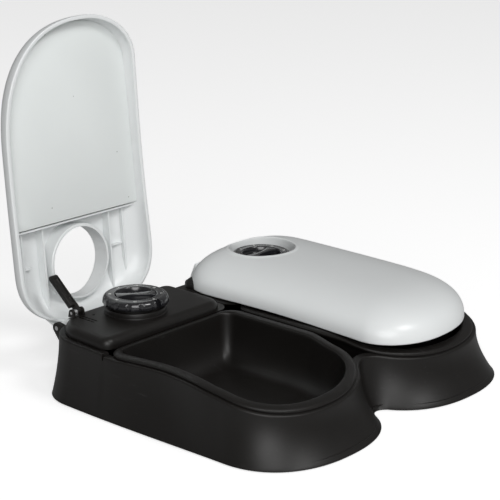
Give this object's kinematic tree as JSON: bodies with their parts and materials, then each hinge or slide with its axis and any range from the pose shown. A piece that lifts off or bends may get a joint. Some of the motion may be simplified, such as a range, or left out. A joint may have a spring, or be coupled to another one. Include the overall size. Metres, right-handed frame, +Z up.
{
  "type": "two-meal timer pet feeder",
  "caption": "Black two-bowl pet feeder with a timer dial, a lift arm and a hinged pale lid over each bowl; one lid stands open, the other is closed.",
  "frame": {"origin": "bottom centre of the box round the whole product in its rest pose, with the left lid open", "axes": "+X across the two bowls, to the right of someone who faces the bowls from the front; -Y towards the front of the bowls; +Z up"},
  "size_m": [0.2766, 0.2837, 0.2593],
  "materials": {
    "black_shell": "satin",
    "lid_shell": "satin",
    "dial_plastic": "satin",
    "rubber": "matte",
    "steel": "drawn wire and turned pins",
    "movement_case": "matte",
    "cell_jacket": "printed film, plain"
  },
  "bodies": {
    "tub": {"base_tub": "black_shell", "rubber_feet": "rubber", "battery": "cell_jacket", "contact_spring": "steel", "contact_plate": "steel", "cover_screws": "steel", "bowl_left": "black_shell", "timer_cover_left": "black_shell", "timer_movement_left": "movement_case", "arm_pin_left": "steel", "arm_spring_left": "steel", "lid_pins_left": "steel", "bowl_right": "black_shell", "timer_cover_right": "black_shell", "timer_movement_right": "movement_case", "arm_pin_right": "steel", "arm_spring_right": "steel", "lid_pins_right": "steel"},
    "battery_door": {"battery_door": "black_shell"},
    "left_dial": {"dial_left": "dial_plastic", "dial_spindle_left": "steel"},
    "right_dial": {"dial_right": "dial_plastic", "dial_spindle_right": "steel"},
    "left_arm": {"lift_arm_left": "black_shell"},
    "right_arm": {"lift_arm_right": "black_shell"},
    "left_lid": {"lid_left": "lid_shell", "lid_liner_left": "lid_shell"},
    "right_lid": {"lid_right": "lid_shell", "lid_liner_right": "lid_shell"}
  },
  "joints": [
    {"name": "left_lid_hinge", "type": "hinge", "parent": "tub", "child": "left_lid", "pos_m": [-0.06825, 0.0994, 0.0416], "axis": [-1, 0, 0], "range_deg": [-95.4, 0]},
    {"name": "right_lid_hinge", "type": "hinge", "parent": "tub", "child": "right_lid", "pos_m": [0.06825, 0.0994, 0.0416], "axis": [-1, 0, 0], "range_deg": [0, 95.4]},
    {"name": "left_arm_pivot", "type": "hinge", "parent": "tub", "child": "left_arm", "pos_m": [-0.10475, 0.084, 0.0564], "axis": [-1, 0, 0], "range_deg": [-140.01, 0]},
    {"name": "right_arm_pivot", "type": "hinge", "parent": "tub", "child": "right_arm", "pos_m": [0.10475, 0.084, 0.0564], "axis": [-1, 0, 0], "range_deg": [0, 140.01]},
    {"name": "left_dial_turn", "type": "hinge", "parent": "tub", "child": "left_dial", "pos_m": [-0.06825, 0.061, 0.06], "axis": [0, 0, 1], "range_deg": [0, 340]},
    {"name": "right_dial_turn", "type": "hinge", "parent": "tub", "child": "right_dial", "pos_m": [0.06825, 0.061, 0.06], "axis": [0, 0, 1], "range_deg": [-150, 190]},
    {"name": "battery_door_slide", "type": "slide", "parent": "tub", "child": "battery_door", "axis": [0, -1, 0], "range_m": [0, 0.03]}
  ],
  "couplings": [
    {"joint": "left_arm_pivot", "follows": "left_lid_hinge", "ratio": 1.4675},
    {"joint": "right_arm_pivot", "follows": "right_lid_hinge", "ratio": 1.4675}
  ]
}
